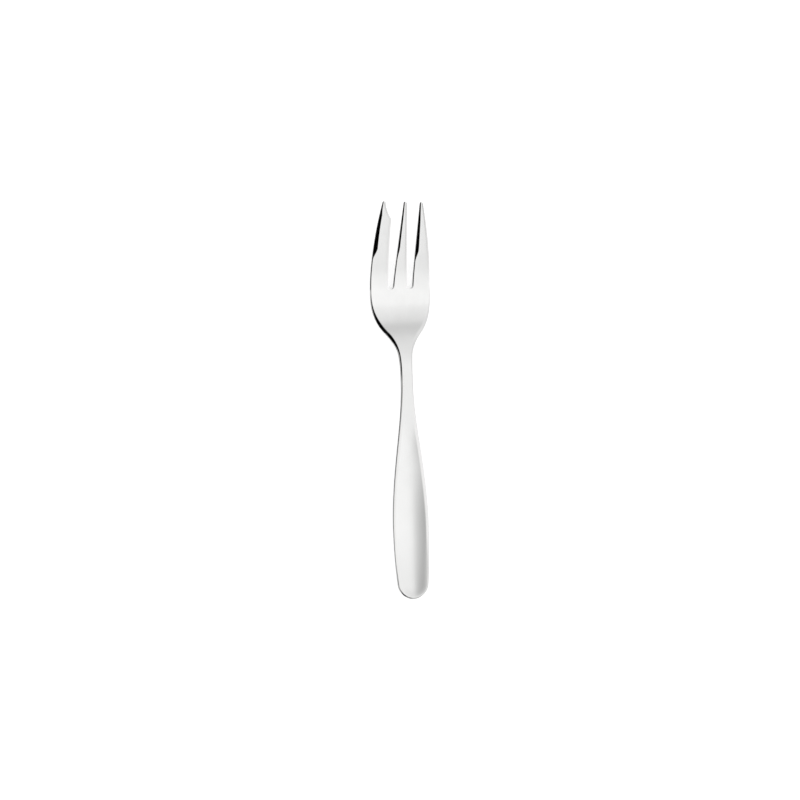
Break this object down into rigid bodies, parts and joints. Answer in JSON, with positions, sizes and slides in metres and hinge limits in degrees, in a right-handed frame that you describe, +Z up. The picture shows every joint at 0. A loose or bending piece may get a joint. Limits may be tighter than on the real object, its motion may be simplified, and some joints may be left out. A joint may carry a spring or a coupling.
{
  "type": "dessert fork",
  "caption": "Slim polished steel dessert fork with a broad notched cutting tine, curved head, narrow neck and dished teardrop handle.",
  "frame": {"origin": "on the table under the middle of the fork, which lies hollow side up on its bowl and its heel", "axes": "+Y along the fork towards the tips of the tines, +X to the right, +Z up out of the hollow side"},
  "size_m": [0.0228, 0.15, 0.0172],
  "materials": {
    "polished_steel": "bright polished stainless steel"
  },
  "bodies": {
    "root": {"fork": "polished_steel"}
  },
  "joints": []
}
